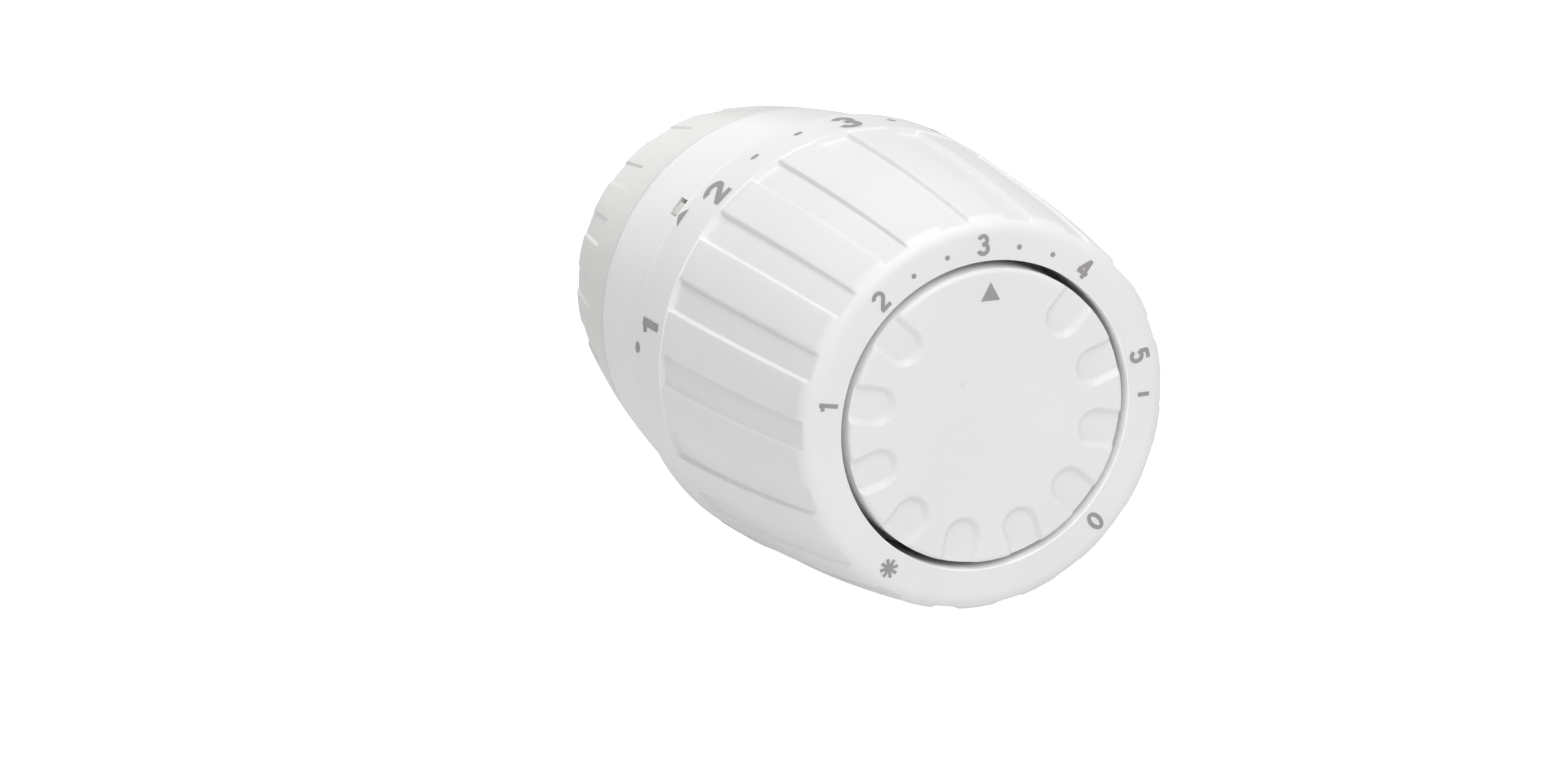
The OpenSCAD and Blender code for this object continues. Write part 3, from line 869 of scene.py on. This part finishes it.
def triangle(bm, corners, put, count=8):
    """A filled triangle of ink, in small faces so that it can follow a curved surface."""
    a, b, c = (Vector(p) for p in corners)
    grid = {}
    for i in range(count + 1):
        for k in range(count + 1 - i):
            u, v = a + (b - a) * i / count + (c - a) * k / count
            grid[i, k] = bm.verts.new(put(u, v, 0))
    for i in range(count):
        for k in range(count - i):
            bm.faces.new((grid[i, k], grid[i + 1, k], grid[i, k + 1]))
            if i + k < count - 1:
                bm.faces.new((grid[i + 1, k], grid[i + 1, k + 1], grid[i, k + 1]))


def draw_mark(bm, mark, height, weight, put, widen=1.0):
    """Prints one mark, each stroke a hair above the last so that crossings don't flicker."""
    for layer, stroke in enumerate(glyph(mark)):
        points = resampled([(x * height * widen, y * height) for x, y in stroke], weight / 3)
        ribbon(bm, points, weight, put, layer)


def outward(bm):
    """Turns every face of a print away from the head's middle."""
    middle = place(0, 0, head_len / 2)
    for face in bm.faces:
        if face.normal.dot(face.calc_center_median() - middle) < 0:
            face.normal_flip()


def print_piece(name, bm, body):
    """A piece of ink that rides on the body it is printed on."""
    bm.normal_update()
    outward(bm)
    return finish_piece(mesh_piece(name, bm), body, ink, "white_plastic")


def on_face(radius, angle, front=head_len):
    """put() for a mark on a flat front, its top outward, centred at radius and angle."""
    def put(u, v, layer):
        x, y = u, radius + v
        r, off = math.hypot(x, y), math.degrees(math.atan2(-x, y))
        return place(r, angle + off, front + ink_lift + 0.006 * layer)
    return put


def surface_r(z):
    """Radius of the handle's outside between its rear edge and the flutes."""
    if z >= widest_z:
        return barrel_at(z)
    return barrel_r - rear_fillet + math.sqrt(rear_fillet ** 2 - (widest_z - z) ** 2)


def on_band(height, angle):
    """put() for a mark on the band, its top to the rear, centred at height and angle."""
    def put(u, v, layer):
        z = height - v
        r = surface_r(z)
        return place(r + ink_lift + 0.006 * layer, angle - math.degrees(u / r), z)
    return put


def build_scales():
    face_digit, face_dot = 2.4, 0.62
    face_sizes = {"I": 1.5, "*": 2.3}
    front = bmesh.new()
    for mark, angle in scale_marks.items():
        radius, weight = (20.85, 0.38) if mark == "*" else (20.5, 0.5)
        draw_mark(front, mark, face_sizes.get(mark, face_digit), weight, on_face(radius, angle))
    for angle in scale_dots:
        spot(front, face_dot, face_dot, on_face(20.15, angle))
    print_piece("front_scale", front, "handle")

    band_digit, band_weight = 4.2, 0.98
    band_sizes = {"I": 2.9, "*": 2.8}
    band_mark_z, band_dot_z = 36.75, 36.2
    side = bmesh.new()
    for mark, angle in scale_marks.items():
        size = band_sizes.get(mark, band_digit)
        draw_mark(side, mark, size, band_weight, on_band(band_mark_z, angle), 1.03)
    for angle in scale_dots:
        spot(side, 1.2, 0.75, on_band(band_dot_z, angle))
    spot(side, 1.4, 1.4, on_band(33.9, 87.5))
    arrow_half, arrow_base, arrow_len = 1.3, 34.2, 1.6
    triangle(side, [(-arrow_half, 0), (arrow_half, 0), (0, arrow_len)], on_band(arrow_base, 52.1))
    print_piece("side_scale", side, "handle")

    pointer = bmesh.new()
    pointer_half, pointer_reach = 1.22, 1.1
    corners = [(-pointer_half, -pointer_reach), (pointer_half, -pointer_reach), (0, pointer_reach)]
    triangle(pointer, corners, on_face(15.0, 0, cap_top), 2)
    print_piece("cap_pointer", pointer, "cap")


# ---- Inner parts that keep their CAD shape ----

def dress_inner_parts():
    looks = {
        "drive_ring": inner, "thrust_washer": pom, "cap_holder": inner, "capsule_carrier": inner,
        "pressure_pin": pom, "cap_snap_ring": spring_steel, "handle_o_ring": rubber,
        "lock_ring_clip": spring_steel, "capsule_circlip": spring_steel, "cup_clip": spring_steel,
        "sensor_can": can_steel, "can_end_plate": can_steel, "spring_seat": can_steel,
        "push_cup": can_steel, "bellows_cap": bright_brass, "guide_bush": bright_brass,
        "charge_tube": copper,
    }
    for node, material in looks.items():
        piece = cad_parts[node]
        piece.data.materials.clear()
        piece.data.materials.append(material)


# ---- Stage ----

def softbox(name, size, power, place_at, aim):
    light = bpy.data.lights.new(name, "AREA")
    light.shape = "RECTANGLE"
    light.size, light.size_y = size
    light.energy = power
    lamp = bpy.data.objects.new(name, light)
    bpy.context.scene.collection.objects.link(lamp)
    lamp.location = place_at
    lamp.rotation_euler = (Vector(aim) - Vector(place_at)).to_track_quat("-Z", "Y").to_euler()
    return lamp


def build_stage():
    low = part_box("setting_handle")[0].z
    bm = bmesh.new()
    bmesh.ops.create_grid(bm, x_segments=1, y_segments=1, size=6)
    floor = mesh_piece("floor", bm)
    floor.location.z = low - 0.0002
    material, surface, coords = shader("studio_floor", (0.6, 0.6, 0.6), 0.7)
    tinted(material, surface, noise(material, coords, 3, 2), (0.6, 0.6, 0.6), (0.59, 0.59, 0.592))
    surface.inputs["Emission Color"].default_value = (1, 1, 1, 1)
    camera_ray = material.node_tree.nodes.new("ShaderNodeLightPath").outputs["Is Camera Ray"]
    glow = ranged(material, camera_ray, 0.22, 0.85)
    material.node_tree.links.new(glow, surface.inputs["Emission Strength"])
    floor.data.materials.append(material)

    middle = (0, -head_len / 2 * MM, 0)
    softbox("top_softbox", (0.8, 0.8), 6.3, (0, 0, 1.2), middle)
    softbox("front_softbox", (0.8, 0.8), 6.0, (0, -0.88, 0.85), middle)
    softbox("back_softbox", (0.8, 0.8), 2.8, (0, 1.15, 0.14), middle)
    softbox("left_softbox", (0.8, 0.8), 1.3, (-0.95, -0.65, 0.1), middle)
    world = bpy.data.worlds.new("studio")
    world.use_nodes = True
    world.node_tree.nodes["Background"].inputs["Color"].default_value = (1, 1, 1, 1)
    world.node_tree.nodes["Background"].inputs["Strength"].default_value = 0.36
    bpy.context.scene.world = world
    bpy.context.scene.view_settings.view_transform = "Standard"


def build_camera():
    azimuth = math.radians(-25.14)
    elevation = math.radians(16.01)
    roll = math.radians(0.64)
    distance = 0.7235
    aim = Vector((-7.87, -34.32, -5.40)) * MM
    back = Vector((
        math.sin(azimuth) * math.cos(elevation),
        -math.cos(azimuth) * math.cos(elevation),
        math.sin(elevation),
    ))
    lens = bpy.data.cameras.new("camera")
    lens.lens = 137.76
    lens.sensor_width = 36
    lens.clip_start = 0.01
    camera = bpy.data.objects.new("camera", lens)
    bpy.context.scene.collection.objects.link(camera)
    facing = (-back).to_track_quat("-Z", "Y").to_matrix()
    camera.rotation_euler = (facing @ Matrix.Rotation(roll, 3, "Z")).to_euler()
    camera.location = aim + back * distance
    bpy.context.scene.camera = camera


build_handle()
build_cap()
build_gate_mark()
build_base()
build_limit_pins()
build_locking_ring()
build_jaws()
build_spring("return_spring", "base", 1.1, 6)
build_spring("overtravel_spring", "actuator", 0.9, 9)
build_bellows()
build_scales()
dress_inner_parts()
build_stage()
build_camera()
